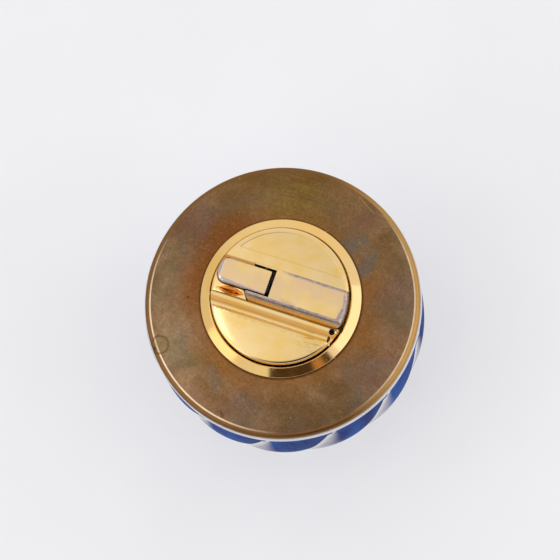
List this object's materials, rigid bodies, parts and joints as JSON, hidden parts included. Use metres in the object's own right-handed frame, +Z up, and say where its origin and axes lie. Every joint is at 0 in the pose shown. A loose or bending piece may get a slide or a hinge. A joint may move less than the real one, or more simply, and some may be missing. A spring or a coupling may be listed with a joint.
{
  "type": "table lighter",
  "caption": "Round ceramic table lighter with swirled ribs, a brass top plate and a lift-out gas insert with thumb lever and snuffer cap.",
  "frame": {"origin": "middle of the felt base, on the surface the lighter stands on", "axes": "+Z up, +X along the lever and cap towards the lever's thumb end, +Y away from the side with the channel"},
  "size_m": [0.0758, 0.0759, 0.0702],
  "materials": {
    "felt": "dark green felt",
    "glaze": "glossy white glaze with cobalt blue on the ribs",
    "plaster": "matt white cement",
    "aged_brass": "tarnished brushed brass",
    "gold_plate": "polished gold plating worn to nickel at the edges",
    "brass": "turned brass",
    "steel": "plated steel",
    "spark_steel": "dark hardened steel",
    "flint": "dark ferrocerium",
    "rubber": "black nitrile"
  },
  "bodies": {
    "jar": {"base_felt": "felt", "ceramic_body": "glaze", "cement_bed": "plaster", "insert_well": "brass", "top_plate": "aged_brass"},
    "insert": {"bezel_ring": "gold_plate", "rear_cover": "gold_plate", "front_cover": "gold_plate", "mechanism_case": "brass", "chassis": "steel", "lever_pin": "steel", "cap_pin": "steel", "wheel_axle": "steel", "rocker_pin": "steel", "wind_guard": "brass", "valve_body": "brass", "lever_spring": "steel", "chassis_screw_1": "steel", "chassis_screw_2": "steel", "fuel_tank": "brass", "tank_lid": "brass", "grip_ring": "rubber", "flint_tube": "brass", "flint": "flint", "flint_spring": "steel", "flint_screw": "brass", "fill_valve_body": "brass"},
    "lever": {"thumb_lever": "gold_plate", "pawl_pin": "steel"},
    "pawl": {"pawl": "steel"},
    "cap": {"snuffer_cap": "gold_plate"},
    "wheel": {"spark_wheel": "spark_steel", "ratchet_wheel": "steel"},
    "rocker": {"valve_rocker": "steel"},
    "jet": {"burner_jet": "brass"},
    "adjuster": {"flame_adjuster": "brass"},
    "fill_stem": {"fill_valve_stem": "brass"}
  },
  "joints": [
    {"name": "insert_lift", "type": "slide", "parent": "jar", "child": "insert", "axis": [0, 0, 1], "range_m": [0, 0.046]},
    {"name": "thumb_lever_press", "type": "hinge", "parent": "insert", "child": "lever", "pos_m": [0.004, 0.00195, 0.0652], "axis": [0, 1, 0], "range_deg": [0, 13], "stiffness_Nm_per_rad": 0.08, "springref_deg": -17.19, "deforming": ["lever_spring"]},
    {"name": "snuffer_cap_swing", "type": "hinge", "parent": "insert", "child": "cap", "pos_m": [-0.006, 0.00195, 0.0654], "axis": [0, 1, 0], "range_deg": [0, 54.1]},
    {"name": "spark_wheel_turn", "type": "hinge", "parent": "insert", "child": "wheel", "pos_m": [-0.003, 0.00195, 0.06], "axis": [0, 1, 0], "range_deg": [0, 60]},
    {"name": "pawl_swing", "type": "hinge", "parent": "lever", "child": "pawl", "pos_m": [-0.0085, -0.0025, 0.0646], "axis": [0, 1, 0], "range_deg": [-7, 0]},
    {"name": "valve_rocker_tilt", "type": "hinge", "parent": "insert", "child": "rocker", "pos_m": [0.003, 0.0046, 0.0578], "axis": [0, 1, 0], "range_deg": [0, 3.6]},
    {"name": "burner_jet_lift", "type": "slide", "parent": "insert", "child": "jet", "axis": [0, 0, 1], "range_m": [0, 0.00101]},
    {"name": "flame_adjuster_turn", "type": "hinge", "parent": "insert", "child": "adjuster", "pos_m": [-0.0125, 0.00195, 0.023], "axis": [0, 0, 1], "range_deg": [-150, 150]},
    {"name": "fill_valve_push", "type": "slide", "parent": "insert", "child": "fill_stem", "axis": [0, 0, 1], "range_m": [0, 0.0012], "stiffness_N_per_m": 400, "springref_m": -0.002}
  ],
  "couplings": [
    {"joint": "snuffer_cap_swing", "follows": "thumb_lever_press", "ratio": 4.15},
    {"joint": "spark_wheel_turn", "follows": "thumb_lever_press", "ratio": 4.6},
    {"joint": "pawl_swing", "follows": "thumb_lever_press", "ratio": -0.45},
    {"joint": "valve_rocker_tilt", "follows": "thumb_lever_press", "ratio": 0.27},
    {"joint": "burner_jet_lift", "follows": "thumb_lever_press", "m_per_rad": 0.0044}
  ]
}
